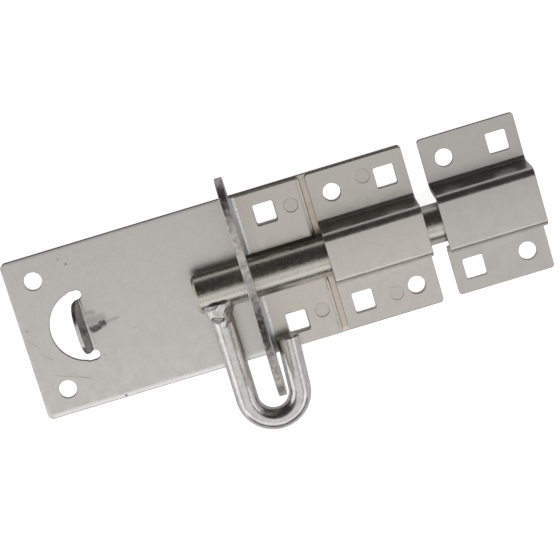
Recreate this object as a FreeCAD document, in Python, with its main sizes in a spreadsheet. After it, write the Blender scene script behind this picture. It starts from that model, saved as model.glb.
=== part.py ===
# Zinc-plated padbolt: back plate, hasp bracket, guide strap, keeper strap, round bolt and U handle.
# The origin is on the back face, under the middle of the back plate. +X runs along the bolt to the keeper,
# +Z points away from the door, and the handle hangs to -Y.
import FreeCAD, Part
import math
import os
import re

import Sketcher

# Driving dimensions, in millimetres
SIZES = {
    # back plate and its fixing holes
    "plate_length": 150.0,
    "plate_width": 60.0,
    "plate_sheet": 1.5,
    "plate_corner_cut": 1.4,
    "plate_hole_inset": 9.9,
    "fixing_row": 41.6,
    "round_hole": 6.5,
    "square_hole": 7.5,
    "square_corner": 0.8,
    # window in the back plate and the stop lug bent up, not quite upright, at its straight side
    "lug_inset": 23.4,
    "lug_width": 19.4,
    "lug_height": 12.5,
    "lug_lean": 1.7,
    "lug_round": 7.5,
    "lug_bend": 1.0,
    "window_radius": 13.2,
    "relief_depth": 1.6,
    # round bolt
    "bolt_diameter": 14.5,
    "bolt_rear_chamfer": 1.0,
    "bolt_nose_chamfer": 2.0,
    "bolt_clearance": 0.3,
    "nose_inset": 3.2,
    # hasp bracket: upright plate, dipped in the middle, with a padlock eye in each ear, and two feet
    "hasp_sheet": 3.0,
    "hasp_bend": 2.0,
    "saddle_height": 29.6,
    "saddle_radius": 40.0,
    "shoulder_radius": 28.0,
    "ear_overhang": 0.7,
    "ear_height": 23.8,
    "ear_radius": 10.2,
    "ear_neck_round": 1.5,
    "eye_diameter": 10.5,
    "foot_length": 28.7,
    "foot_gap": 2.1,
    "foot_corner": 1.3,
    "foot_hole_reach": 13.7,
    "foot_rivet_reach": 23.4,
    "foot_rivet_row": 40.0,
    # hat-section straps
    "strap_length": 36.0,
    "strap_width": 59.0,
    "strap_sheet": 1.5,
    "strap_corner": 1.3,
    "strap_hole_pitch": 20.0,
    "strap_bend": 1.8,
    "hump_lean": 1.2,
    "guide_side_room": 0.7,
    "guide_top_room": 1.3,
    "guide_rivet_reach": 20.2,
    "guide_rivet_row": 44.6,
    "keeper_gap": 6.1,
    "keeper_side_room": 2.0,
    "keeper_top_room": 0.4,
    # U handle and the weld that joins it to the bolt
    "rod_diameter": 8.2,
    "rod_chamfer": 0.7,
    "handle_setback": 6.9,
    "handle_lead": 11.8,
    "handle_bend": 9.7,
    "handle_reach": 42.1,
    "handle_spread": 20.5,
    "handle_free_end": 23.5,
    "weld_radius": 6.4,
    "weld_reach": 14.0,
    "weld_toe": 0.4,
    "weld_clearance": 0.08,
    # flush rivets, in rows that lie a little to one side of the bolt
    "rivet_shift": 0.8,
    "rivet_diameter": 5.1,
    "rivet_sink": 0.25,
}

# Places worked out from the driving dimensions
AXIS_HEIGHT = "plate_sheet + bolt_clearance + bolt_diameter / 2"
PLATE_END = "-plate_length / 2"
GUIDE_START = "plate_length / 2 - strap_length"
KEEPER_START = "plate_length / 2 + keeper_gap"
HASP_FACE = f"{GUIDE_START} - foot_gap - foot_length"
LEG_PLACE = f"{HASP_FACE} - handle_lead"
BOLT_REAR = f"{LEG_PLACE} - handle_setback"
BOLT_LENGTH = f"{KEEPER_START} + strap_length - nose_inset - ({BOLT_REAR})"
BOLT_WAY = "bolt_diameter / 2 + bolt_clearance"
ROW_HALF = "fixing_row / 2"
STRAP_HOLES = ("strap_length / 2 - strap_hole_pitch / 2", "strap_length / 2 + strap_hole_pitch / 2")

TOUCH = 0.01

document = FreeCAD.newDocument("padbolt")
sheet = document.addObject("Spreadsheet::Sheet", "sizes")
for row, (alias, number) in enumerate(SIZES.items(), start=1):
    sheet.set(f"A{row}", str(number))
    sheet.setAlias(f"A{row}", alias)
document.recompute()


def from_sheet(formula):
    """Spell a formula of size names as an expression on the spreadsheet."""
    return re.sub(r"[a-z_]+", r"sizes.\g<0>", formula)


def bind(thing, prop, formula):
    thing.setExpression(prop, from_sheet(formula))


def place(thing, along="0", across="0", up="0"):
    for axis, formula in zip("xyz", (along, across, up)):
        bind(thing, f"Placement.Base.{axis}", formula)


def new_body(label):
    body = document.addObject("PartDesign::Body", label)
    body.Label = label
    return body


def new_sketch(body, role, name, offset="0"):
    """A sketch on one of the body's own origin planes, moved along that plane's normal."""
    plane = next(item for item in body.Origin.OriginFeatures if item.Role == role)
    sketch = body.newObject("Sketcher::SketchObject", name)
    sketch.AttachmentSupport = [(plane, "")]
    sketch.MapMode = "FlatFace"
    bind(sketch, "AttachmentOffset.Base.z", offset)
    return sketch


def fix(sketch, kind, geometry, point, formula, start):
    """Hold one coordinate of a point at a formula."""
    index = sketch.addConstraint(Sketcher.Constraint(kind, -1, 1, geometry, point, start))
    sketch.setExpression(f"Constraints[{index}]", from_sheet(formula))


def measure(sketch, kind, geometry, formula, start):
    """Give an arc or circle its size from a formula."""
    index = sketch.addConstraint(Sketcher.Constraint(kind, geometry, start))
    sketch.setExpression(f"Constraints[{index}]", from_sheet(formula))


def outline(sketch, corners):
    """A closed polygon whose corners are pairs of formulas."""
    first = sketch.GeometryCount
    count = len(corners)
    ring = [FreeCAD.Vector(math.cos(2 * math.pi * i / count), math.sin(2 * math.pi * i / count), 0)
            for i in range(count)]
    for i in range(count):
        sketch.addGeometry(Part.LineSegment(ring[i], ring[(i + 1) % count]), False)
    for i, (horizontal, vertical) in enumerate(corners):
        following = first + (i + 1) % count
        sketch.addConstraint(Sketcher.Constraint("Coincident", first + i, 2, following, 1))
        fix(sketch, "DistanceX", first + i, 1, horizontal, ring[i].x)
        fix(sketch, "DistanceY", first + i, 1, vertical, ring[i].y)


def rectangle(sketch, left, right, low, high):
    outline(sketch, [(left, low), (right, low), (right, high), (left, high)])


def disc(sketch, horizontal, vertical, diameter):
    centre = FreeCAD.Vector(1, 1, 0)
    index = sketch.addGeometry(Part.Circle(centre, FreeCAD.Vector(0, 0, 1), 1), False)
    fix(sketch, "DistanceX", index, 3, horizontal, 1)
    fix(sketch, "DistanceY", index, 3, vertical, 1)
    measure(sketch, "Diameter", index, diameter, 2)


def square(sketch, horizontal, vertical, side):
    rectangle(sketch, f"{horizontal} - {side} / 2", f"{horizontal} + {side} / 2",
              f"{vertical} - {side} / 2", f"{vertical} + {side} / 2")


def pad(body, sketch, name, length, both_ways=False):
    feature = body.newObject("PartDesign::Pad", name)
    feature.Profile = sketch
    feature.Midplane = both_ways
    bind(feature, "Length", length)
    sketch.Visibility = False
    document.recompute()
    return feature


def cut_through(body, sketch, name):
    """Cut the sketch right through the body, both ways from its plane."""
    before = body.Tip.Shape.Volume
    feature = body.newObject("PartDesign::Pocket", name)
    feature.Profile = sketch
    feature.Type = "ThroughAll"
    feature.Midplane = True
    document.recompute()
    if feature.Shape.Volume >= before - TOUCH:
        raise RuntimeError(f"{name} cuts nothing from {body.Label}")
    return feature


def edges_like(feature, test):
    return [f"Edge{i}" for i, edge in enumerate(feature.Shape.Edges, start=1) if test(edge)]


def runs_along(edge, axis):
    """True where a straight edge runs along one axis."""
    if not isinstance(edge.Curve, Part.Line):
        return False
    return abs(getattr(edge.Curve.Direction, axis)) > 1 - TOUCH


def near(a, b):
    return abs(a - b) < TOUCH


def dress(body, kind, name, formula, test):
    """Round or chamfer every edge of the tip that passes a test."""
    tip = body.Tip
    edges = edges_like(tip, test)
    if not edges:
        raise RuntimeError(f"{name} finds no edge on {body.Label}")
    feature = body.newObject(f"PartDesign::{kind}", name)
    feature.Base = (tip, edges)
    bind(feature, "Radius" if kind == "Fillet" else "Size", formula)
    document.recompute()
    return feature


def rivet_places(row):
    """The two places across the bolt of a row of rivets."""
    return {"upper": f"rivet_shift + {row} / 2", "lower": f"rivet_shift - {row} / 2"}


def rivet_row(sketch, along, row):
    for across in rivet_places(row).values():
        disc(sketch, along, across, "rivet_diameter")


def square_fixings(body, sketch, name):
    """Cut the square holes of a sketch and round their corners."""
    cut_through(body, sketch, name)
    sides = [(SIZES["fixing_row"] + way * SIZES["square_hole"]) / 2 for way in (-1, 1)]
    dress(body, "Fillet", f"{name}_corners", "square_corner",
          lambda edge: runs_along(edge, "z") and any(near(abs(edge.CenterOfMass.y), side) for side in sides))


def back_plate():
    """Long sheet with a D-shaped window and the stop lug folded up at the window's straight side."""
    size = SIZES
    body = new_body("back_plate")
    half_length = "plate_length / 2"
    half_width = "plate_width / 2"
    lug_far = f"{PLATE_END} + lug_inset"
    lug_near = f"{lug_far} - plate_sheet"

    blank = new_sketch(body, "XY_Plane", "plate_outline")
    outline(blank, [
        (f"{PLATE_END} + plate_corner_cut", f"-{half_width}"),
        (half_length, f"-{half_width}"),
        (half_length, half_width),
        (f"{PLATE_END} + plate_corner_cut", half_width),
        (PLATE_END, f"{half_width} - plate_corner_cut"),
        (PLATE_END, f"-{half_width} + plate_corner_cut"),
    ])
    pad(body, blank, "plate_blank", "plate_sheet")
    dress(body, "Fillet", "plate_far_corners", "strap_corner",
          lambda edge: runs_along(edge, "z") and near(edge.CenterOfMass.x, size["plate_length"] / 2))

    # the window: a round cut on the side away from the lug, and a relief notch past each end of the fold
    window = new_sketch(body, "XY_Plane", "window_outline")
    start_x = -size["plate_length"] / 2 + size["lug_inset"]
    chord_x = start_x - size["plate_sheet"]
    half_chord = math.sqrt(size["window_radius"] ** 2 - size["plate_sheet"] ** 2)
    angle = math.atan2(half_chord, -size["plate_sheet"])
    circle = Part.Circle(FreeCAD.Vector(start_x, 0, 0), FreeCAD.Vector(0, 0, 1), size["window_radius"])
    arc = window.addGeometry(Part.ArcOfCircle(circle, angle, 2 * math.pi - angle), False)
    chord = window.addGeometry(Part.LineSegment(FreeCAD.Vector(chord_x, -half_chord, 0),
                                                FreeCAD.Vector(chord_x, half_chord, 0)), False)
    window.addConstraint(Sketcher.Constraint("Coincident", arc, 2, chord, 1))
    window.addConstraint(Sketcher.Constraint("Coincident", chord, 2, arc, 1))
    window.addConstraint(Sketcher.Constraint("Vertical", chord))
    window.addConstraint(Sketcher.Constraint("PointOnObject", arc, 3, -1))
    fix(window, "DistanceX", arc, 3, lug_far, start_x)
    fix(window, "DistanceX", chord, 1, lug_near, chord_x)
    measure(window, "Radius", arc, "window_radius", size["window_radius"])
    cut_through(body, window, "window")

    relief_width = "(window_radius - lug_width / 2)"
    relief_middle = "(window_radius + lug_width / 2) / 2"
    relief_end = f"{lug_far} + relief_depth - {relief_width} / 2"
    for side, name in (("", "upper"), ("-", "lower")):
        notch = new_sketch(body, "XY_Plane", f"{name}_relief_outline")
        middle = f"{side}({relief_middle})"
        rectangle(notch, f"{lug_near} - plate_sheet", relief_end,
                  f"{middle} - {relief_width} / 2", f"{middle} + {relief_width} / 2")
        cut_through(body, notch, f"{name}_relief")
        tip = new_sketch(body, "XY_Plane", f"{name}_relief_tip")
        disc(tip, relief_end, middle, relief_width)
        cut_through(body, tip, f"{name}_relief_round")

    lug = new_sketch(body, "XZ_Plane", "lug_side")
    outline(lug, [
        (lug_near, "0"),
        (lug_far, "0"),
        (f"{lug_far} - lug_lean", "lug_height"),
        (f"{lug_near} - lug_lean", "lug_height"),
    ])
    pad(body, lug, "stop_lug", "lug_width", both_ways=True)
    fold_x = start_x - size["lug_lean"] * size["plate_sheet"] / size["lug_height"]
    dress(body, "Fillet", "lug_corners", "lug_round",
          lambda edge: runs_along(edge, "x") and near(edge.CenterOfMass.z, size["lug_height"]))
    dress(body, "Fillet", "lug_inner_bend", "lug_bend",
          lambda edge: runs_along(edge, "y") and near(edge.CenterOfMass.z, size["plate_sheet"])
          and near(edge.CenterOfMass.x, fold_x))
    dress(body, "Fillet", "lug_outer_bend", "lug_bend + plate_sheet",
          lambda edge: runs_along(edge, "y") and near(edge.CenterOfMass.z, 0)
          and near(edge.CenterOfMass.x, chord_x))

    rounds = new_sketch(body, "XY_Plane", "round_holes")
    squares = new_sketch(body, "XY_Plane", "square_holes")
    for side in ("", "-"):
        disc(rounds, f"{PLATE_END} + plate_hole_inset", f"{side}{ROW_HALF}", "round_hole")
        square(squares, f"{HASP_FACE} + foot_hole_reach", f"{side}{ROW_HALF}", "square_hole")
    left, right = (f"{GUIDE_START} + {hole}" for hole in STRAP_HOLES)
    disc(rounds, left, ROW_HALF, "round_hole")
    disc(rounds, right, f"-{ROW_HALF}", "round_hole")
    square(squares, right, ROW_HALF, "square_hole")
    square(squares, left, f"-{ROW_HALF}", "square_hole")
    cut_through(body, rounds, "round_fixings")
    square_fixings(body, squares, "square_fixings")

    rivets = new_sketch(body, "XY_Plane", "rivet_holes")
    rivet_row(rivets, f"{HASP_FACE} + foot_rivet_reach", "foot_rivet_row")
    rivet_row(rivets, f"{GUIDE_START} + guide_rivet_reach", "guide_rivet_row")
    cut_through(body, rivets, "rivet_ways")
    return body


def hasp_bracket():
    """One thick folded sheet: an upright across the bolt, and a foot each side of the bolt's way."""
    size = SIZES
    body = new_body("hasp_bracket")
    place(body, along=HASP_FACE, up="plate_sheet")
    half_width = "strap_width / 2"
    ear_place = f"{half_width} + ear_overhang"
    ear_up = "ear_height - plate_sheet"

    # half of the upright: the hollow saddle over the bolt, the shoulder, the round ear and the neck
    half = new_sketch(body, "YZ_Plane", "upright_outline")
    neck_x = size["strap_width"] / 2
    dip = size["saddle_height"] - size["plate_sheet"]
    ear_radius = size["ear_radius"]
    shoulder_radius = size["shoulder_radius"]
    hollow = FreeCAD.Vector(0, dip + size["saddle_radius"], 0)
    ear = FreeCAD.Vector(neck_x + size["ear_overhang"], size["ear_height"] - size["plate_sheet"], 0)

    # the shoulder touches the saddle from outside and holds the ear inside, which places its centre
    to_hollow = size["saddle_radius"] + shoulder_radius
    to_ear = shoulder_radius - ear_radius
    span = (ear - hollow).Length
    forward = (ear - hollow).normalize()
    along = (to_hollow ** 2 - to_ear ** 2 + span ** 2) / (2 * span)
    aside = math.sqrt(to_hollow ** 2 - along ** 2)
    shoulder = hollow + forward * along + FreeCAD.Vector(forward.y, -forward.x, 0) * aside
    inner_turn = math.atan2(hollow.y - shoulder.y, hollow.x - shoulder.x)
    outer_turn = math.atan2(ear.y - shoulder.y, ear.x - shoulder.x)
    neck_turn = -math.acos((neck_x - ear.x) / ear_radius)
    neck_z = ear.y + ear_radius * math.sin(neck_turn)

    upward = FreeCAD.Vector(0, 0, 1)
    for centre, radius, begin, end in (
            (hollow, size["saddle_radius"], -math.pi / 2, inner_turn - math.pi),
            (shoulder, shoulder_radius, outer_turn, inner_turn),
            (ear, ear_radius, neck_turn, outer_turn)):
        half.addGeometry(Part.ArcOfCircle(Part.Circle(centre, upward, radius), begin, end), False)
    corners = [FreeCAD.Vector(*xy, 0) for xy in ((neck_x, neck_z), (neck_x, 0), (0, 0), (0, dip))]
    for begin, end in zip(corners, corners[1:]):
        half.addGeometry(Part.LineSegment(begin, end), False)
    half.addConstraint(Sketcher.Constraint("Tangent", 0, 2, 1, 2))
    half.addConstraint(Sketcher.Constraint("Tangent", 1, 1, 2, 2))
    half.addConstraint(Sketcher.Constraint("Coincident", 2, 1, 3, 1))
    half.addConstraint(Sketcher.Constraint("Coincident", 3, 2, 4, 1))
    half.addConstraint(Sketcher.Constraint("Coincident", 4, 2, 5, 1))
    half.addConstraint(Sketcher.Constraint("Coincident", 5, 2, 0, 1))
    half.addConstraint(Sketcher.Constraint("PointOnObject", 0, 3, -2))
    half.addConstraint(Sketcher.Constraint("Vertical", 3))
    half.addConstraint(Sketcher.Constraint("Horizontal", 4))
    half.addConstraint(Sketcher.Constraint("Vertical", 5))
    half.addConstraint(Sketcher.Constraint("Coincident", 5, 1, -1, 1))
    fix(half, "DistanceX", 2, 3, ear_place, ear.x)
    fix(half, "DistanceY", 2, 3, ear_up, ear.y)
    fix(half, "DistanceY", 0, 1, "saddle_height - plate_sheet", dip)
    fix(half, "DistanceX", 3, 2, half_width, neck_x)
    measure(half, "Radius", 0, "saddle_radius", size["saddle_radius"])
    measure(half, "Radius", 1, "shoulder_radius", shoulder_radius)
    measure(half, "Radius", 2, "ear_radius", ear_radius)
    upright = pad(body, half, "upright_half", "hasp_sheet")
    mirrored = body.newObject("PartDesign::Mirrored", "upright")
    mirrored.Originals = [upright]
    plane = next(item for item in body.Origin.OriginFeatures if item.Role == "XZ_Plane")
    mirrored.MirrorPlane = (plane, [""])
    body.Tip = mirrored
    document.recompute()
    dress(body, "Fillet", "ear_necks", "ear_neck_round",
          lambda edge: runs_along(edge, "x") and near(edge.CenterOfMass.z, neck_z)
          and near(abs(edge.CenterOfMass.y), neck_x))

    foot = new_sketch(body, "XY_Plane", "foot_outline")
    rectangle(foot, "0", "foot_length", f"-{half_width}", half_width)
    pad(body, foot, "foot", "hasp_sheet")
    dress(body, "Fillet", "inner_bend", "hasp_bend",
          lambda edge: runs_along(edge, "y") and near(edge.CenterOfMass.z, size["hasp_sheet"])
          and near(edge.CenterOfMass.x, size["hasp_sheet"]))
    dress(body, "Fillet", "outer_bend", "hasp_bend + hasp_sheet",
          lambda edge: runs_along(edge, "y") and near(edge.CenterOfMass.z, 0)
          and near(edge.CenterOfMass.x, 0))
    dress(body, "Fillet", "foot_corners", "foot_corner",
          lambda edge: runs_along(edge, "z") and near(edge.CenterOfMass.x, size["foot_length"]))

    # the bolt's way: a round hole in the upright that runs out as a slot between the two feet
    axis = f"{AXIS_HEIGHT} - plate_sheet"
    way = new_sketch(body, "YZ_Plane", "bolt_way_slot")
    rectangle(way, f"-({BOLT_WAY})", BOLT_WAY, "-hasp_sheet", axis)
    cut_through(body, way, "foot_slot")
    round_way = new_sketch(body, "YZ_Plane", "bolt_way_round")
    disc(round_way, "0", axis, f"2 * ({BOLT_WAY})")
    cut_through(body, round_way, "bolt_hole")

    eyes = new_sketch(body, "YZ_Plane", "padlock_eyes")
    squares = new_sketch(body, "XY_Plane", "foot_squares")
    rivets = new_sketch(body, "XY_Plane", "foot_rivet_holes")
    for side in ("", "-"):
        disc(eyes, f"{side}({ear_place})", ear_up, "eye_diameter")
        square(squares, "foot_hole_reach", f"{side}{ROW_HALF}", "square_hole")
    rivet_row(rivets, "foot_rivet_reach", "foot_rivet_row")
    cut_through(body, eyes, "eyes")
    square_fixings(body, squares, "foot_fixings")
    cut_through(body, rivets, "foot_rivet_ways")
    return body


def hat_strap(label, along, up, inner_half, inner_height, riveted=False):
    """A strap pressed to a hat section round the bolt, with a round and a square hole in each flange."""
    size = SIZES
    body = new_body(label)
    place(body, along=along, up=up)

    flange = new_sketch(body, "XY_Plane", f"{label}_flange")
    rectangle(flange, "0", "strap_length", "-strap_width / 2", "strap_width / 2")
    pad(body, flange, f"{label}_flanges", "strap_sheet")
    dress(body, "Fillet", f"{label}_corners", "strap_corner", lambda edge: runs_along(edge, "z"))

    # the hump's walls lean out a little towards their feet
    outer_half = f"{inner_half} + strap_sheet"
    hump = new_sketch(body, "YZ_Plane", f"{label}_hump_outline")
    outline(hump, [
        (f"-({outer_half} + hump_lean)", "0"),
        (f"{outer_half} + hump_lean", "0"),
        (outer_half, f"{inner_height} + strap_sheet"),
        (f"-({outer_half})", f"{inner_height} + strap_sheet"),
    ])
    hump_pad = pad(body, hump, f"{label}_hump", "strap_length")
    top = hump_pad.Shape.BoundBox.ZMax
    dress(body, "Fillet", f"{label}_top_bends", "strap_bend + strap_sheet",
          lambda edge: runs_along(edge, "x") and near(edge.CenterOfMass.z, top))
    outer_reach = size["strap_width"] / 2
    dress(body, "Fillet", f"{label}_foot_bends", "strap_bend",
          lambda edge: runs_along(edge, "x") and near(edge.CenterOfMass.z, size["strap_sheet"])
          and abs(edge.CenterOfMass.y) < outer_reach - TOUCH)

    channel = new_sketch(body, "YZ_Plane", f"{label}_channel_outline")
    outline(channel, [
        (f"-({inner_half} + hump_lean)", "0"),
        (f"{inner_half} + hump_lean", "0"),
        (inner_half, inner_height),
        (f"-({inner_half})", inner_height),
    ])
    cut_through(body, channel, f"{label}_channel")
    inner_top = top - size["strap_sheet"]
    dress(body, "Fillet", f"{label}_inner_top_bends", "strap_bend",
          lambda edge: runs_along(edge, "x") and near(edge.CenterOfMass.z, inner_top))
    dress(body, "Fillet", f"{label}_inner_foot_bends", "strap_bend + strap_sheet",
          lambda edge: runs_along(edge, "x") and near(edge.CenterOfMass.z, 0)
          and abs(edge.CenterOfMass.y) < outer_reach - TOUCH)

    rounds = new_sketch(body, "XY_Plane", f"{label}_round_holes")
    squares = new_sketch(body, "XY_Plane", f"{label}_square_holes")
    left, right = STRAP_HOLES
    disc(rounds, left, ROW_HALF, "round_hole")
    disc(rounds, right, f"-{ROW_HALF}", "round_hole")
    square(squares, right, ROW_HALF, "square_hole")
    square(squares, left, f"-{ROW_HALF}", "square_hole")
    cut_through(body, rounds, f"{label}_round_fixings")
    square_fixings(body, squares, f"{label}_square_fixings")
    if riveted:
        rivets = new_sketch(body, "XY_Plane", f"{label}_rivet_holes")
        rivet_row(rivets, "guide_rivet_reach", "guide_rivet_row")
        cut_through(body, rivets, f"{label}_rivet_ways")
    return body


def round_bolt():
    """A bar turned to a chamfer at its rear end and a longer one at its nose."""
    body = new_body("bolt")
    place(body, along=BOLT_REAR, up=AXIS_HEIGHT)
    radius = "bolt_diameter / 2"
    half = new_sketch(body, "XZ_Plane", "bolt_half")
    outline(half, [
        ("0", "0"),
        (BOLT_LENGTH, "0"),
        (BOLT_LENGTH, f"{radius} - bolt_nose_chamfer"),
        (f"{BOLT_LENGTH} - bolt_nose_chamfer", radius),
        ("bolt_rear_chamfer", radius),
        ("0", f"{radius} - bolt_rear_chamfer"),
    ])
    turned = body.newObject("PartDesign::Revolution", "bolt_bar")
    turned.Profile = half
    turned.ReferenceAxis = (half, ["H_Axis"])
    turned.Angle = 360
    document.recompute()
    return body


def u_handle():
    """A rod bent to a U: one leg cropped against the bolt, the other free on the far side of the upright."""
    size = SIZES
    body = new_body("handle")
    place(body, along=LEG_PLACE, up=AXIS_HEIGHT)

    start = "bolt_diameter / 2 + weld_clearance"
    section = new_sketch(body, "XZ_Plane", "rod_section", start)
    disc(section, "0", "0", "rod_diameter")

    path = new_sketch(body, "XY_Plane", "rod_path")
    radius = size["handle_bend"]
    first = FreeCAD.Vector(0, -size["bolt_diameter"] / 2 - size["weld_clearance"], 0)
    centre = FreeCAD.Vector(radius, -size["handle_reach"], 0)
    free_end = FreeCAD.Vector(size["handle_spread"], -size["handle_free_end"], 0)
    sight = free_end - centre
    spread = math.atan2(sight.x, sight.y) - math.asin(radius / sight.Length)
    touch = centre + FreeCAD.Vector(math.cos(spread), -math.sin(spread), 0) * radius
    bend = Part.Circle(centre, FreeCAD.Vector(0, 0, 1), radius)
    path.addGeometry(Part.LineSegment(first, FreeCAD.Vector(0, centre.y, 0)), False)
    path.addGeometry(Part.ArcOfCircle(bend, math.pi, 2 * math.pi - spread), False)
    path.addGeometry(Part.LineSegment(touch, free_end), False)
    path.addConstraint(Sketcher.Constraint("PointOnObject", 0, 1, -2))
    path.addConstraint(Sketcher.Constraint("Vertical", 0))
    path.addConstraint(Sketcher.Constraint("Tangent", 0, 2, 1, 1))
    path.addConstraint(Sketcher.Constraint("Tangent", 1, 2, 2, 1))
    fix(path, "DistanceY", 0, 1, f"-({start})", first.y)
    fix(path, "DistanceY", 0, 2, "-handle_reach", centre.y)
    measure(path, "Radius", 1, "handle_bend", radius)
    fix(path, "DistanceX", 2, 2, "handle_spread", free_end.x)
    fix(path, "DistanceY", 2, 2, "-handle_free_end", free_end.y)
    document.recompute()

    rod = body.newObject("PartDesign::AdditivePipe", "rod")
    rod.Profile = section
    rod.Spine = path
    document.recompute()
    dress(body, "Chamfer", "free_end_edge", "rod_chamfer",
          lambda edge: edge.isClosed() and near(edge.CenterOfMass.y, free_end.y))
    return body


def handle_weld():
    """The weld: a collar that swells from the leg of the handle to the side of the bolt."""
    body = new_body("handle_weld")
    place(body, along=LEG_PLACE, up=AXIS_HEIGHT)
    rod = "rod_diameter / 2"
    bore = f"{rod} + weld_clearance"
    half = new_sketch(body, "XY_Plane", "weld_half")
    outline(half, [
        (bore, "0"),
        (bore, "-weld_reach"),
        (f"{rod} + weld_toe", "-weld_reach"),
        ("weld_radius", "-bolt_diameter / 2"),
        ("weld_radius", "0"),
    ])
    collar = body.newObject("PartDesign::Revolution", "weld_collar")
    collar.Profile = half
    collar.ReferenceAxis = (half, ["V_Axis"])
    collar.Angle = 360
    document.recompute()
    seat = new_sketch(body, "YZ_Plane", "bolt_seat")
    disc(seat, "0", "0", "bolt_diameter + 2 * weld_clearance")
    cut_through(body, seat, "bolt_side")
    return body


def rivet_pair(label, along, row, stack):
    """Two flush rivets, level with the back of the plate and sunk a little below the front."""
    pieces = []
    for name, across in rivet_places(row).items():
        rivet = document.addObject("Part::Cylinder", f"{label}_{name}")
        bind(rivet, "Radius", "rivet_diameter / 2")
        bind(rivet, "Height", f"{stack} - rivet_sink")
        place(rivet, along=along, across=across)
        pieces.append(rivet)
    group = document.addObject("Part::Compound", label)
    group.Label = label
    group.Links = pieces
    document.recompute()
    return group


pieces = [
    back_plate(),
    hasp_bracket(),
    hat_strap("guide_strap", GUIDE_START, "plate_sheet", "bolt_diameter / 2 + guide_side_room",
              f"{AXIS_HEIGHT} - plate_sheet + bolt_diameter / 2 + guide_top_room", riveted=True),
    hat_strap("keeper_strap", KEEPER_START, "0", "bolt_diameter / 2 + keeper_side_room",
              f"{AXIS_HEIGHT} + bolt_diameter / 2 + keeper_top_room"),
    round_bolt(),
    u_handle(),
    handle_weld(),
    rivet_pair("bracket_rivets", f"{HASP_FACE} + foot_rivet_reach", "foot_rivet_row",
               "plate_sheet + hasp_sheet"),
    rivet_pair("guide_rivets", f"{GUIDE_START} + guide_rivet_reach", "guide_rivet_row",
               "plate_sheet + strap_sheet"),
]
document.recompute()

failed = [item.Label for item in document.Objects if "Invalid" in item.State or "Error" in item.State]
failed += [piece.Label for piece in pieces if piece.Shape.isNull() or not piece.Shape.isValid()]
if failed:
    raise RuntimeError("these did not build: " + ", ".join(failed))

os.makedirs("parts", exist_ok=True)
for piece in pieces:
    piece.Shape.exportStep(f"parts/{piece.Label}.step")
    box = piece.Shape.BoundBox
    print(f"{piece.Label}: {len(piece.Shape.Solids)} solids, {piece.Shape.Volume:.1f} mm3, "
          f"x {box.XMin:.2f} to {box.XMax:.2f}, y {box.YMin:.2f} to {box.YMax:.2f}, "
          f"z {box.ZMin:.2f} to {box.ZMax:.2f}")
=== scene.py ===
# %% [markdown]
# # A zinc-plated padbolt
# The solids of the padbolt come packed, in metres, each on the body that it moves with. This lesson lights
# them, gives them their metal and adds the detail that solids alone lack. The first cell loads the solids
# and gives a measure of the box of each.

# %% Load the solids and measure their boxes
import math
from collections import namedtuple

import bmesh
import bpy
from mathutils import Matrix, Vector


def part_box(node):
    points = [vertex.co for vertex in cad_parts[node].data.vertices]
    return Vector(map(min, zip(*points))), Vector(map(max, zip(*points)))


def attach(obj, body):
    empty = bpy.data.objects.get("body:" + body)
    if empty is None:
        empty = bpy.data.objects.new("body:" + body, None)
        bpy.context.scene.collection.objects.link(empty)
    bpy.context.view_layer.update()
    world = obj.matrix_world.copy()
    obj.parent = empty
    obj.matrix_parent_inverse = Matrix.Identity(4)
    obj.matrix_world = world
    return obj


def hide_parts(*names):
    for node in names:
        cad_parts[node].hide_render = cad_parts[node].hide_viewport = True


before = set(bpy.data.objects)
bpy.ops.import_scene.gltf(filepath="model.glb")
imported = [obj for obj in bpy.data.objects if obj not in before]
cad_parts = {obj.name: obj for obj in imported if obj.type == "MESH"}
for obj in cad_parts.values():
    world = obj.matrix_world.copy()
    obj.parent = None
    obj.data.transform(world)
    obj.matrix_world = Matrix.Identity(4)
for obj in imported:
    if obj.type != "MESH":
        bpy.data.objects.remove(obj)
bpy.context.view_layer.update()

MM = 0.001

# %% [markdown]
# ## The camera
# The padbolt was pictured from high above and a little from the side of its upright, turned in the frame
# so that the bolt runs up to the right. A long lens keeps the parallel edges of the plate nearly parallel.
# The place and the directions are written down as fitted to the plate's corners and holes, because a
# camera aimed by eye would miss the lean of the walls.

# %% Camera
EYE = Vector((26.1, 138.4, 748.4)) * MM
FORWARD = Vector((-0.0079, -0.1883, -0.9821)).normalized()
RIGHT = Vector((0.9574, -0.2851, 0.0470)).normalized()
FOCAL_PIXELS = 2104.9
IMAGE_PIXELS = 560.0
SENSOR_WIDTH = 36.0
NEAREST = 10.0 * MM

camera_data = bpy.data.cameras.new("product_camera")
camera_data.sensor_width = SENSOR_WIDTH
camera_data.lens = FOCAL_PIXELS / IMAGE_PIXELS * SENSOR_WIDTH
camera_data.clip_start = NEAREST
camera = bpy.data.objects.new("product_camera", camera_data)
bpy.context.scene.collection.objects.link(camera)
picture_up = RIGHT.cross(FORWARD).normalized()
picture_right = FORWARD.cross(picture_up).normalized()
turn = Matrix((picture_right, picture_up, -FORWARD)).transposed()
camera.matrix_world = Matrix.Translation(EYE) @ turn.to_4x4()
bpy.context.scene.camera = camera
print("camera lens", round(camera_data.lens, 1), "mm at", [round(value, 3) for value in EYE])

# %% [markdown]
# ## The white of the table
# The padbolt lies on a white table. Bright metal shows its surroundings, so the table is part of the
# finish: it gives the bolt and the rod their pale rims. It glows for the camera and a little in the
# reflections, and keeps a plain matt white under the glow that takes the shadow. A material is a tree of
# nodes, and three small helpers make such trees short to write. All the later finishes use them too.

# %% White of the table
TABLE_GLOW = 0.9
TABLE_SHINE = 0.15
MATT_WHITE = (0.85, 0.85, 0.85, 1.0)
GLOW_WHITE = (1.0, 1.0, 1.0, 1.0)


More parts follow.
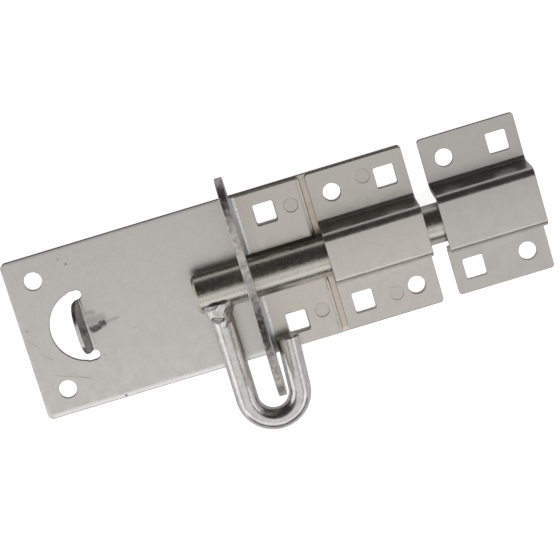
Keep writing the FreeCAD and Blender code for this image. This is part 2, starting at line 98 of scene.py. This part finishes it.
def shader(name):
    """A new node material, emptied, with its output node."""
    material = bpy.data.materials.new(name)
    material.use_nodes = True
    tree = material.node_tree
    tree.nodes.clear()
    output = tree.nodes.new("ShaderNodeOutputMaterial")
    return material, tree, output


def node(tree, kind, operation=None, **sockets):
    """Add a node, choose its operation and set its input sockets by name."""
    made = tree.nodes.new(kind)
    if operation:
        made.operation = operation
    for socket, value in sockets.items():
        made.inputs[socket.replace("_", " ")].default_value = value
    return made


def math_node(tree, operation, *inputs):
    """A Math node fed by links or plain numbers."""
    made = node(tree, "ShaderNodeMath", operation)
    for socket, value in zip(made.inputs, inputs):
        if isinstance(value, (int, float)):
            socket.default_value = value
        else:
            tree.links.new(value, socket)
    return made.outputs[0]


table_white, table_tree, table_output = shader("white_table")
matt = node(table_tree, "ShaderNodeBsdfDiffuse", Color=MATT_WHITE)
glow = node(table_tree, "ShaderNodeEmission", Color=GLOW_WHITE)
path = node(table_tree, "ShaderNodeLightPath").outputs
seen = math_node(table_tree, "MAXIMUM", path["Is Camera Ray"], path["Is Transmission Ray"])
glowing = math_node(table_tree, "MULTIPLY", seen, TABLE_GLOW)
mirrored = math_node(table_tree, "MULTIPLY", path["Is Glossy Ray"], TABLE_SHINE)
table_tree.links.new(math_node(table_tree, "ADD", glowing, mirrored), glow.inputs["Strength"])
both = node(table_tree, "ShaderNodeAddShader")
table_tree.links.new(matt.outputs[0], both.inputs[0])
table_tree.links.new(glow.outputs[0], both.inputs[1])
table_tree.links.new(both.outputs[0], table_output.inputs["Surface"])
print("material", table_white.name, "with", len(table_tree.nodes), "nodes")

# %% [markdown]
# ## The table
# The table is one large plane, so that no edge of it comes into the picture or the reflections. It lies a
# hair below the back of the plate, because two faces in the same place would flicker into each other.

# %% Table
TABLE_DROP = 0.3 * MM
TABLE_SPAN = 6.0

bpy.ops.mesh.primitive_plane_add(size=TABLE_SPAN, location=(0.0, 0.0, -TABLE_DROP))
table = bpy.context.object
table.name = "white_table"
table.data.materials.append(table_white)
print("table", table.name, TABLE_SPAN, "m wide")

# %% [markdown]
# ## The lamps
# The reflections in the bent rod tell where the lamps stood. A wide soft box hangs overhead and leans to
# the handle's side, a brighter strip stands lower on that side, a small box stands to the right, and pale
# walls close the left and the right. The far side is an unlit room, which gives the bolt its dark band.
# Each lamp's power follows from its brightness and its area, so that all stay at a plain level.

# %% Soft boxes and room
LAMP_DISTANCE = 1.0
ROOM_LEVEL = 0.045
ROOM_TINT = (1.0, 0.97, 0.93, 1.0)
ALONG = Vector((1.0, 0.0, 0.0))
ACROSS = Vector((0.0, 1.0, 0.0))
SOFT_BOXES = {
    "overhead_box": {"to": (-0.16, -0.28, 0.95), "side": ALONG, "wide": 1.3, "deep": 0.66, "level": 0.8},
    "front_strip": {"to": (0.0, -0.79, 0.61), "side": ALONG, "wide": 1.9, "deep": 0.52, "level": 1.05},
    "right_box": {"to": (0.69, -0.18, 0.70), "side": ACROSS, "wide": 0.9, "deep": 0.42, "level": 1.05},
    "right_wall": {"to": (0.96, -0.1, 0.27), "side": ACROSS, "wide": 1.3, "deep": 0.62, "level": 0.55},
    "left_wall": {"to": (-0.95, -0.1, 0.3), "side": ACROSS, "wide": 1.3, "deep": 0.8, "level": 1.2},
}

for name, box in SOFT_BOXES.items():
    lamp = bpy.data.lights.new(name, "AREA")
    lamp.shape = "RECTANGLE"
    lamp.size = box["wide"]
    lamp.size_y = box["deep"]
    lamp.energy = box["level"] * math.pi * box["wide"] * box["deep"]
    soft_box = bpy.data.objects.new(name, lamp)
    bpy.context.scene.collection.objects.link(soft_box)
    towards = Vector(box["to"]).normalized()
    depth = towards.cross(box["side"]).normalized()
    faced = Matrix((depth.cross(towards), depth, towards)).transposed()
    soft_box.matrix_world = Matrix.Translation(towards * LAMP_DISTANCE) @ faced.to_4x4()
    print(name, "power", round(lamp.energy, 2), "W")

world = bpy.data.worlds.new("room")
bpy.context.scene.world = world
world.use_nodes = True
room = world.node_tree.nodes["Background"]
room.inputs["Color"].default_value = ROOM_TINT
room.inputs["Strength"].default_value = ROOM_LEVEL
bpy.context.scene.view_settings.view_transform = "Standard"

# %% [markdown]
# ## Noise for the metal
# No plated metal is one flat colour, and its unevenness can be painted or worked out. Here it is worked
# out by noise in millimetres, which stays sharp at any distance. Three more helpers make the noise, turn
# it into a mask and mix two colours by that mask.

# %% Noise, masks and blends
EVEN = (1.0, 1.0, 1.0)
# The Mix node has a set of sockets for each kind of value, and these are the numbers of those for colours.
MIX_FACTOR = 0
MIX_FIRST = 6
MIX_SECOND = 7
MIX_RESULT = 2


def noise(tree, place, lump, stretch=EVEN, detail=3.0, rough=0.55):
    """Noise with lumps of about that many millimetres, drawn out along each axis by stretch."""
    scale = [1.0 / (lump * MM * factor) for factor in stretch]
    mapping = node(tree, "ShaderNodeMapping", Scale=scale)
    tree.links.new(place, mapping.inputs["Vector"])
    cloud = node(tree, "ShaderNodeTexNoise", Scale=1.0, Detail=detail, Roughness=rough)
    tree.links.new(mapping.outputs[0], cloud.inputs["Vector"])
    return cloud.outputs[0]


def between(tree, value, low, high, start, end):
    """Map a value from one range to another, smoothly and clamped."""
    mapped = node(tree, "ShaderNodeMapRange", From_Min=low, From_Max=high, To_Min=start, To_Max=end)
    mapped.interpolation_type = "SMOOTHSTEP"
    tree.links.new(value, mapped.inputs["Value"])
    return mapped.outputs[0]


def blend(tree, factor, first, second):
    """Mix two colours, given as triples or links."""
    mix = node(tree, "ShaderNodeMix")
    mix.data_type = "RGBA"
    for value, socket in ((first, mix.inputs[MIX_FIRST]), (second, mix.inputs[MIX_SECOND])):
        if isinstance(value, tuple):
            socket.default_value = (*value, 1.0)
        else:
            tree.links.new(value, socket)
    tree.links.new(factor, mix.inputs[MIX_FACTOR])
    return mix.outputs[MIX_RESULT]


print("made the helpers noise, between and blend")

# %% [markdown]
# ## Bright zinc
# Zinc plating is a thin coat of metal crystals. From a step away it is an even satin grey, and close up it
# is mottled, finely grained and rolled in one direction. One recipe serves all the pieces: a slow noise
# mottles the colour and the gloss, a fine noise drawn out along the rolling direction roughens the
# surface as bump, and each piece sets how strong they are. The pattern reads Object coordinates, so it
# stays on the metal when the piece moves. The plate's own finish is the first one made with it.

# %% Zinc recipe and the plate's finish
COLOUR_RANGE = (0.35, 0.65)
GLOSS_RANGE = (0.3, 0.7)
GRAIN_DEPTH = 0.05 * MM
Finish = namedtuple("Finish", "material tree metal place")


def zinc(name, light, dark, satin, mottle=3.0, grain=0.35, rolled=EVEN, relief=0.15, drawn=EVEN):
    """Zinc plate: two greys, a range of roughness, the lumps of its mottle and grain, and the bump.

    rolled draws the grain out along each axis, and drawn does the same to the mottle.
    """
    material, tree, output = shader(name)
    place = node(tree, "ShaderNodeTexCoord").outputs["Object"]
    clouds = noise(tree, place, mottle, drawn, detail=5.0, rough=0.6)
    grains = noise(tree, place, grain, rolled, detail=2.0)
    colour = blend(tree, between(tree, clouds, *COLOUR_RANGE, 0.0, 1.0), dark, light)
    metal = node(tree, "ShaderNodeBsdfPrincipled", Metallic=1.0)
    bump = node(tree, "ShaderNodeBump", Strength=relief, Distance=GRAIN_DEPTH)
    tree.links.new(grains, bump.inputs["Height"])
    tree.links.new(colour, metal.inputs["Base Color"])
    tree.links.new(between(tree, clouds, *GLOSS_RANGE, *satin), metal.inputs["Roughness"])
    tree.links.new(bump.outputs[0], metal.inputs["Normal"])
    tree.links.new(metal.outputs[0], output.inputs["Surface"])
    print("finish", name)
    return Finish(material, tree, metal, place)


plate_zinc = zinc("plate_zinc", light=(0.68, 0.67, 0.63), dark=(0.6, 0.59, 0.55), satin=(0.27, 0.36),
                  rolled=(4.0, 1.0, 1.0))

# %% [markdown]
# ## Sharp edges and the rivets' rings
# Punched and folded sheet never has a knife edge: tumbling and plating round every edge by a few tenths
# of a millimetre, and that thin round is what draws the bright and dark lines along the plate, the straps
# and the holes. A weight on each sharp edge sets its share of the round, because a rivet swells into its
# hole and leaves only a fine ring. The rivets' places are measured on their solids.

# %% Weights of the sharp edges
SHARP = math.radians(35.0)
RING_SHARE = 0.4
RING_REACH = 1.1


def rivet_places(name):
    """The centres and the radius of a pair of rivets that stand in line across the bolt."""
    low, high = [[value / MM for value in corner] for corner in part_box(name)]
    radius = (high[0] - low[0]) / 2
    middle = (low[0] + high[0]) / 2
    return [(middle, low[1] + radius, radius), (middle, high[1] - radius, radius)]


RIVETS = rivet_places("bracket_rivets") + rivet_places("guide_rivets")


def on_rivet(spot):
    """Whether a spot, in millimetres, lies on a rivet or on the wall of its hole."""
    return any(math.hypot(spot.x - x, spot.y - y) < RING_REACH * radius for x, y, radius in RIVETS)


def weigh_edges(mesh, ring_share):
    """Give each sharp edge a bevel weight: a share for the rivets' rings and the whole for the rest."""
    shape = bmesh.new()
    shape.from_mesh(mesh)
    weight = shape.edges.layers.float.new("bevel_weight_edge")
    for edge in shape.edges:
        if edge.calc_face_angle(0.0) > SHARP:
            middle = (edge.verts[0].co + edge.verts[1].co) / 2 / MM
            edge[weight] = ring_share if on_rivet(middle) else 1.0
    shape.to_mesh(mesh)
    shape.free()


for x, y, radius in RIVETS:
    print("rivet at", round(x, 1), round(y, 1), "mm, radius", round(radius, 2), "mm")

# %% [markdown]
# ## Sheet with soft edges
# The solids have sharp edges, and rounding each one by hand would be slow. So each sheet gets a copy of its
# mesh, with the loose triangles merged into flat faces and a Bevel modifier that follows the weights. The
# finish of each face is chosen before the bevel, which hands it on to the rounds. The copy then stands for
# the solid.

# %% Bevelled copy of a solid
FLAT = math.radians(0.3)
MERGE = 0.001 * MM
ROUND_SEGMENTS = 3


def soft_edged(node_name, body, width, finish_of, finishes, ring_share=RING_SHARE):
    """Put a copy with rounded edges in place of a solid, with a finish chosen for each face."""
    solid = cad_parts[node_name]
    bpy.ops.object.select_all(action="DESELECT")
    piece = bpy.data.objects.new(node_name + "_soft", solid.data.copy())
    piece.data.transform(solid.matrix_world)
    bpy.context.scene.collection.objects.link(piece)
    bpy.context.view_layer.objects.active = piece
    piece.select_set(True)
    bpy.ops.object.mode_set(mode="EDIT")
    bpy.ops.mesh.select_all(action="SELECT")
    bpy.ops.mesh.remove_doubles(threshold=MERGE)
    bpy.ops.mesh.dissolve_limited(angle_limit=FLAT)
    bpy.ops.object.mode_set(mode="OBJECT")
    piece.data.materials.clear()
    for finish in finishes:
        piece.data.materials.append(finish.material)
    for face in piece.data.polygons:
        face.material_index = finish_of(face.normal, face.center / MM)
    bpy.ops.object.shade_smooth_by_angle(angle=SHARP)
    weigh_edges(piece.data, ring_share)
    bevel = piece.modifiers.new("soft_edges", "BEVEL")
    bevel.limit_method = "WEIGHT"
    bevel.width = width * MM
    bevel.segments = ROUND_SEGMENTS
    bevel.use_clamp_overlap = False
    bevel.loop_slide = False
    bevel.harden_normals = True
    bpy.ops.object.modifier_apply(modifier=bevel.name)
    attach(piece, body)
    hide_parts(node_name)
    print(piece.name, len(piece.data.polygons), "faces")


print("edges over", round(math.degrees(SHARP)), "degrees become soft")

# %% [markdown]
# ## Finishes of the sheets
# The sheet's faces are satin. Where the press has cut through, the metal is rough and thinly plated, and its
# finish is painted darker for the shade that the outer edges show. The thick upright shows a cut edge along
# its whole outline, smoothed by tumbling and patchy. The lug's broad faces are painted dark, with streaks
# along them, for the dark reflection they show, and the hollow of the bracket's fold carries a painted
# highlight. Each is the zinc recipe with other greys, other gloss and another size of mottle and grain.

# %% Finishes of the sheets
bracket_zinc = zinc("bracket_zinc", light=(0.69, 0.65, 0.59), dark=(0.62, 0.58, 0.53), satin=(0.27, 0.36))
guide_zinc = zinc("guide_zinc", light=(0.67, 0.635, 0.585), dark=(0.6, 0.565, 0.525), satin=(0.27, 0.35),
                  relief=0.08)
keeper_zinc = zinc("keeper_zinc", light=(0.61, 0.59, 0.555), dark=(0.55, 0.53, 0.5), satin=(0.26, 0.32),
                   mottle=6.0, relief=0.03)
# Painted shade: the cut edges' finish is darker than the metal for the shade they show.
cut_edge_shade = zinc("cut_edge_painted_shade", light=(0.36, 0.34, 0.31), dark=(0.2, 0.19, 0.17), satin=(0.45, 0.6),
                mottle=0.8, grain=0.25, relief=0.4)
outline_zinc = zinc("upright_edge_zinc", light=(0.6, 0.58, 0.55), dark=(0.32, 0.3, 0.28), satin=(0.3, 0.48),
                    mottle=1.7, grain=0.4, relief=0.6)
# Painted highlight: the hollow of the fold is finished pale for the light it catches.
fold_painted_highlight = zinc("fold_painted_highlight", light=(0.9, 0.92, 0.93), dark=(0.62, 0.63, 0.63), satin=(0.3, 0.45),
                 mottle=0.7, grain=0.3, relief=0.4)
# Painted shade: the lug's faces are finished dark for the dark reflection they show.
lug_painted_shade = zinc("lug_painted_shade", light=(0.5, 0.5, 0.49), dark=(0.17, 0.17, 0.17), satin=(0.25, 0.45),
                mottle=0.8, grain=0.3, relief=0.3, drawn=(1.0, 8.0, 0.7))

# %% [markdown]
# ## The walls of the holes
# The punch burnishes the wall of a hole as it goes through, so the holes look bright and keep the sheet's
# finish. A face belongs to such a wall if it lies near the middle of a fixing hole or on a rivet's hole.
# The fixing holes stand in two rows, one on each side of the bolt.

# %% Holes
HOLE_COLUMNS = (-65.1, 21.9, 47.0, 67.0, 89.1, 109.1)
HOLE_ROWS = (20.8, -20.8)
HOLE_SPAN = 5.8
HOLES = [(x, y) for x in HOLE_COLUMNS for y in HOLE_ROWS]


def punched(centre):
    """Whether a face belongs to the wall of a fixing hole or of a rivet's hole."""
    return on_rivet(centre) or any(math.hypot(centre.x - x, centre.y - y) < HOLE_SPAN for x, y in HOLES)


print("fixing holes", len(HOLES))

# %% [markdown]
# ## The back plate
# The plate is one sheet with its lug bent up out of the window. Its finish is chosen by where a face looks
# and lies: the two broad faces of the lug look along the bolt, and the cut edges look sideways.

# %% Back plate
SHEET = 0
# The cut-edge finish and the lug's finish are painted dark for shade.
SHADED_CUT = 1
SHADED_LUG = 2
# How much of a face's normal lies along an axis if it looks mostly, or squarely, that way.
MOSTLY = 0.5
SQUARELY = 0.7
PLATE_TOP = 1.5
LUG_SIDE = -20.0
PLATE_ROUND = 0.3


def plate_face(normal, centre):
    """Cut edges lie below the plate's top or up the lug's sides, and the lug's faces look along the bolt."""
    if punched(centre):
        return SHEET
    if centre.z > PLATE_TOP and centre.x < LUG_SIDE:
        return SHADED_LUG if abs(normal.x) > SQUARELY else SHADED_CUT if abs(normal.y) > MOSTLY else SHEET
    return SHADED_CUT if abs(normal.z) < MOSTLY else SHEET


soft_edged("back_plate", "mounting", PLATE_ROUND, plate_face, (plate_zinc, cut_edge_shade, lug_painted_shade))

# %% [markdown]
# ## The hasp bracket
# The bracket is thicker sheet, folded from the upright into two feet, and its edges are rounder for it.
# The upright's outline, the hollow of the fold and the edges of the feet each have their own finish: the
# fold carries a painted highlight and the edges of the feet the cut edges' painted shade. The end of the
# feet keeps the sheet's finish without that shade, because it looks to the lamp on the right, and the shears
# rolled it over so that it catches that light.

# %% Hasp bracket
OUTLINE = 2
FOLD_HIGHLIGHT = 3
SLIGHTLY = 0.1
FOLD_TOP = 6.5
FOLD_END = 13.3
FOOT_END = 36.5
UPRIGHT_FACE = 11.3
BRACKET_ROUND = 0.45


def bracket_face(normal, centre):
    """The hollow of the fold, the upright's outline, and the edges of the feet past it."""
    if centre.x < FOLD_END and min(normal.x, normal.z) > SLIGHTLY and centre.z < FOLD_TOP:
        return FOLD_HIGHLIGHT
    if centre.x < UPRIGHT_FACE and centre.z > FOLD_TOP:
        return OUTLINE if abs(normal.x) < MOSTLY else SHEET
    if centre.x > FOOT_END and normal.x > SQUARELY or punched(centre):
        return SHEET
    return SHADED_CUT if abs(normal.y) > MOSTLY or centre.x > FOLD_END and abs(normal.z) < MOSTLY else SHEET


soft_edged("hasp_bracket", "mounting", BRACKET_ROUND, bracket_face,
           (bracket_zinc, cut_edge_shade, outline_zinc, fold_painted_highlight))

# %% [markdown]
# ## The straps
# Guide and keeper are bent from the same thin sheet. Both are lit on the end that looks to the handle, and
# there the cut edge keeps the sheet's finish. The far end and the edges of the flanges look dark, and they
# get the cut edges' finish with its painted shade. One function makes the choice for both, with the height
# of the flanges, since the guide lies on the plate.

# %% Guide and keeper straps
END_DEPTH = 0.1
GUIDE_FLANGE = 2 * PLATE_TOP
KEEPER_FLANGE = PLATE_TOP
STRAP_ROUND = 0.25


def strap_face(name, flange_top):
    """The cut edges' painted shade goes on the strap's far end and on the walls below the top of its
    flanges.
    """
    near_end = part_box(name)[0][0] / MM + END_DEPTH

    def finish_of(normal, centre):
        if centre.x < near_end or punched(centre):
            return SHEET
        return SHADED_CUT if normal.x > MOSTLY or abs(normal.z) < MOSTLY and centre.z < flange_top else SHEET
    return finish_of


soft_edged("guide_strap", "mounting", STRAP_ROUND, strap_face("guide_strap", GUIDE_FLANGE),
           (guide_zinc, cut_edge_shade))
soft_edged("keeper_strap", "mounting", STRAP_ROUND, strap_face("keeper_strap", KEEPER_FLANGE),
           (keeper_zinc, cut_edge_shade))

# %% [markdown]
# ## Wear and painted light on the plate
# The plate has lived a little, and some of its marks are painted light. A dark patch lies beside the lug, a
# painted shade darkens the upper edge, a few grains of dirt were plated over, and there are hairline
# scratches near the holes. Rinse water dried in the gap between the foot and the guide and left it yellow,
# and a painted highlight runs along the lower edge and the left end.
# Each mark is a stroke between two places of the plate.

# %% Marks of the plate
# Strengths of the marks. The faint darkening paints shade along the upper edge and darkens beside the lug.
DARK_PATCH = 0.85
FAINT_DARKENING = 0.3
HAIRLINE = 0.28
SPECK = 0.85
PALE_SPECK = 0.4
# Where each mark starts and ends on the plate, its width, all in millimetres, and its strength.
MARKS = (
    # A painted shade along the upper edge.
    ((-74.0, 29.7), (6.0, 29.7), 0.9, FAINT_DARKENING),
    # A dark patch beside the lug.
    ((-50.2, -2.0), (-45.4, -1.5), 1.3, DARK_PATCH),
    ((-49.9, -3.1), (-47.0, -2.6), 0.8, DARK_PATCH),
    ((-46.8, -0.6), (-45.2, -0.5), 0.7, DARK_PATCH),
    ((-49.8, 1.0), (-45.4, 0.8), 2.2, FAINT_DARKENING),
    ((-50.0, 4.2), (-48.0, 3.7), 1.2, FAINT_DARKENING),
    ((-45.6, -1.2), (-40.0, -0.6), 0.9, 0.25),
    ((-68.0, -14.6), (-56.4, -19.1), 0.22, HAIRLINE),
    ((-63.0, -15.4), (-54.0, -20.6), 0.18, HAIRLINE),
    ((-73.4, 0.5), (-70.2, -3.6), 0.2, HAIRLINE),
    ((-70.5, -5.6), (-66.8, -9.0), 0.22, HAIRLINE),
    ((-51.9, 23.4), (-51.8, 23.4), 0.42, SPECK),
    ((-45.8, -29.2), (-45.4, -29.2), 0.5, SPECK),
    ((-72.9, 3.8), (-72.6, 3.8), 0.45, 0.5),
    ((-54.4, 26.2), (-54.0, 25.6), 0.4, PALE_SPECK),
    ((-48.7, -12.4), (-48.5, -12.4), 0.35, 0.45),
    ((-35.0, -6.2), (-34.8, -6.2), 0.35, PALE_SPECK),
)
# Painted highlights along the lower edge and the left end.
PAINTED_HIGHLIGHTS = (
    ((-72.0, -29.8), (36.0, -29.8), 1.7, 0.6),
    ((-74.9, 26.0), (-74.9, -28.0), 0.6, 0.5),
)
DRIED_RINSE = (
    ((38.2, 30.0), (38.2, -30.0), 2.6, 0.5),
    ((38.6, 20.0), (38.6, 8.5), 1.4, 0.6),
)
print("marks", len(PAINTED_HIGHLIGHTS) + len(DRIED_RINSE) + len(MARKS))

# %% [markdown]
# ## Painting the marks
# A mark could be painted on a picture, but then it would blur close up. Here the mask of a mark is the
# distance to its line, ragged by noise, and it pulls the plate's colour towards the painted highlight, the
# yellow or the dark of dirt and painted shade. The marks follow one another in the tree, so that the dark
# marks lie on top.

# %% Paint the marks
# The dark of the dirt and of the painted shade.
DIRT_AND_SHADE = (0.06, 0.058, 0.055)
YELLOWED = (0.66, 0.55, 0.42)
# The pale colour of the painted highlights.
HIGHLIGHT_TINT = (0.95, 0.94, 0.92)
RAGGED_LUMP = 0.9
CORE_SHARE = 0.6
FADE_SHARE = 1.7


def stroke(tree, place, start, end, width):
    """A mask that is 1 on a line of the plate and fades to 0 at its sides, which are ragged."""
    begin = Vector((*start, PLATE_TOP)) * MM
    run = Vector((*end, PLATE_TOP)) * MM - begin
    offset = node(tree, "ShaderNodeVectorMath", "SUBTRACT")
    tree.links.new(place, offset.inputs[0])
    offset.inputs[1].default_value = begin
    along = node(tree, "ShaderNodeVectorMath", "DOT_PRODUCT")
    tree.links.new(offset.outputs[0], along.inputs[0])
    along.inputs[1].default_value = run / run.length_squared
    share = math_node(tree, "MINIMUM", math_node(tree, "MAXIMUM", along.outputs["Value"], 0.0), 1.0)
    foot = node(tree, "ShaderNodeVectorMath", "SCALE")
    foot.inputs[0].default_value = run
    tree.links.new(share, foot.inputs["Scale"])
    gap = node(tree, "ShaderNodeVectorMath", "DISTANCE")
    tree.links.new(offset.outputs[0], gap.inputs[0])
    tree.links.new(foot.outputs[0], gap.inputs[1])
    ragged = math_node(tree, "MULTIPLY", noise(tree, place, RAGGED_LUMP, detail=4.0), width * MM)
    distance = math_node(tree, "ADD", gap.outputs["Value"], ragged)
    return between(tree, distance, CORE_SHARE * width * MM, FADE_SHARE * width * MM, 1.0, 0.0)


plate_tree = plate_zinc.tree
colour = plate_zinc.metal.inputs["Base Color"].links[0].from_socket
for marks, tint in ((PAINTED_HIGHLIGHTS, HIGHLIGHT_TINT), (DRIED_RINSE, YELLOWED), (MARKS, DIRT_AND_SHADE)):
    for start, end, width, strength in marks:
        line = stroke(plate_tree, plate_zinc.place, start, end, width)
        colour = blend(plate_tree, math_node(plate_tree, "MULTIPLY", line, strength), colour, tint)
plate_tree.links.new(colour, plate_zinc.metal.inputs["Base Color"])
print("plate finish with marks", len(plate_tree.nodes), "nodes")

# %% [markdown]
# ## Edges that the shears rolled over
# Shears and dies pull the sheet down a little before they cut it, so the metal rolls over towards the
# edge. On the plate that is a slow bow towards its lower edge with a tighter roll at the very edge and at
# the left end, and on the foot a tight roll at its end that shows as a bright line. All are too shallow to
# model, so further bumps follow the distance to the edge.

# %% Die roll
FOOT_ROLL = 2.0


def die_roll(finish, axis, way, start, reach, depth):
    """Tilt the surface down past a start, by a depth at the end of its reach, all in millimetres."""
    tree = finish.tree
    parts = node(tree, "ShaderNodeSeparateXYZ")
    tree.links.new(finish.place, parts.inputs[0])
    outwards = math_node(tree, "MULTIPLY", parts.outputs[axis], way / MM)
    past = math_node(tree, "MAXIMUM", math_node(tree, "SUBTRACT", outwards, start), 0.0)
    drop = math_node(tree, "POWER", math_node(tree, "DIVIDE", past, reach), 2.0)
    roll = node(tree, "ShaderNodeBump", Strength=1.0, Distance=-depth * MM)
    tree.links.new(drop, roll.inputs["Height"])
    grain_bump = finish.metal.inputs["Normal"].links[0].from_node
    for earlier in grain_bump.inputs["Normal"].links:
        tree.links.new(earlier.from_socket, roll.inputs["Normal"])
    tree.links.new(roll.outputs[0], grain_bump.inputs["Normal"])


die_roll(plate_zinc, "Y", way=-1.0, start=12.0, reach=18.0, depth=0.5)
die_roll(plate_zinc, "Y", way=-1.0, start=26.8, reach=3.2, depth=0.65)
die_roll(plate_zinc, "X", way=-1.0, start=73.6, reach=1.4, depth=0.3)
foot_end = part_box("hasp_bracket")[1][0] / MM
die_roll(bracket_zinc, "X", way=1.0, start=foot_end - FOOT_ROLL, reach=FOOT_ROLL, depth=0.45)
print("die roll on two edges of the plate and the foot's end at", round(foot_end, 2), "mm")

# %% [markdown]
# ## Bar, rod and rivets
# The bolt is drawn bar, so its grain runs along it, and the handle is a bent rod, smoother and glossier
# than the sheet. The rivets are flush ends hammered level, whose rims show as fine rings. Bar and rod
# keep their solids, and the rivets get a fine soft rim.

# %% Bar, rod and rivets
RIVET_ROUND = 0.08
WHOLE_ROUND = 1.0

bar_zinc = zinc("bar_zinc", light=(0.64, 0.61, 0.55), dark=(0.56, 0.53, 0.47), satin=(0.24, 0.32),
                mottle=2.0, grain=0.3, rolled=(6.0, 1.0, 1.0), relief=0.3)
rod_zinc = zinc("rod_zinc", light=(0.72, 0.71, 0.69), dark=(0.6, 0.59, 0.57), satin=(0.18, 0.28),
                mottle=2.2, grain=0.35, relief=0.25)
rivet_zinc = zinc("rivet_zinc", light=(0.68, 0.64, 0.58), dark=(0.6, 0.57, 0.52), satin=(0.28, 0.38))


def rivet_face(normal, centre):
    """A rivet has one finish all round."""
    return SHEET


for name, finish in (("bolt", bar_zinc), ("handle", rod_zinc)):
    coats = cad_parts[name].data.materials
    coats.clear()
    coats.append(finish.material)
for name in ("bracket_rivets", "guide_rivets"):
    soft_edged(name, "mounting", RIVET_ROUND, rivet_face, (rivet_zinc,), WHOLE_ROUND)

# %% [markdown]
# ## The body of the weld
# The rod's leg is welded to the side of the bolt. The weld metal is broad against the bolt and runs out
# along the top of the rod as a tongue. A cone is the start: it lies across the bolt and a little above its
# axis, because the welder came from above, and low enough to clear the plate when the handle swings over.
# It is moved in Edit Mode, so that the piece's origin stays at the frame's origin.

# %% Cone of the weld
WELD_ROOT = 6.3 * MM
WELD_TOE = 2.6 * MM
WELD_SIDES = 40
BEAD_LIFT = 1.45 * MM
LUMP = 0.45 * MM
weld_low, weld_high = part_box("handle_weld")
weld_axis = [(low + high) / 2 for low, high in zip(weld_low, weld_high)]
weld_length = weld_high[1] - weld_low[1] - 2 * LUMP

bpy.ops.mesh.primitive_cone_add(vertices=WELD_SIDES, radius1=WELD_ROOT, radius2=WELD_TOE, depth=weld_length)
weld = bpy.context.object
weld.name = "weld_bead"
bpy.ops.object.mode_set(mode="EDIT")
bpy.ops.mesh.select_all(action="SELECT")
bpy.ops.transform.rotate(value=math.radians(-90.0), orient_axis="X", center_override=(0.0, 0.0, 0.0))
bpy.ops.transform.translate(value=(weld_axis[0], weld_axis[1], weld_axis[2] + BEAD_LIFT))
bpy.ops.object.mode_set(mode="OBJECT")
print(weld.name, round(weld_length / MM, 1), "mm long")

# %% [markdown]
# ## The lumps of the weld
# Weld metal freezes in smooth lumps, one after another. A voxel remesh gives the cone even faces, a
# Displace modifier with a cloud texture pushes them into lumps, and a Smooth modifier melts the lumps
# again. That costs less work than sculpting, and gives the same bead each time.

# %% Lumps of the weld
VOXEL = 0.25 * MM
LUMP_SPAN = 3.0 * MM
LUMP_STRENGTH = 2.8 * LUMP
MELT_SHARE = 0.5
MELT_ROUNDS = 5

remesh = weld.modifiers.new("even_faces", "REMESH")
remesh.mode = "VOXEL"
remesh.voxel_size = VOXEL
bpy.ops.object.modifier_apply(modifier=remesh.name)
lumps = bpy.data.textures.new("weld_lumps", "CLOUDS")
lumps.noise_scale = LUMP_SPAN
lumps.noise_depth = 0
displace = weld.modifiers.new("lumps", "DISPLACE")
displace.texture = lumps
displace.strength = LUMP_STRENGTH
displace.mid_level = 0.5
bpy.ops.object.modifier_apply(modifier=displace.name)
melt = weld.modifiers.new("melt", "SMOOTH")
melt.factor = MELT_SHARE
melt.iterations = MELT_ROUNDS
bpy.ops.object.modifier_apply(modifier=melt.name)
bpy.ops.object.shade_smooth()
weld_zinc = zinc("weld_zinc", light=(0.7, 0.68, 0.65), dark=(0.54, 0.52, 0.5), satin=(0.2, 0.32),
                 mottle=1.6, grain=0.6, relief=0.3)
weld.data.materials.append(weld_zinc.material)
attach(weld, "swing_handle")
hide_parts("handle_weld")
print(weld.name, len(weld.data.polygons), "faces")
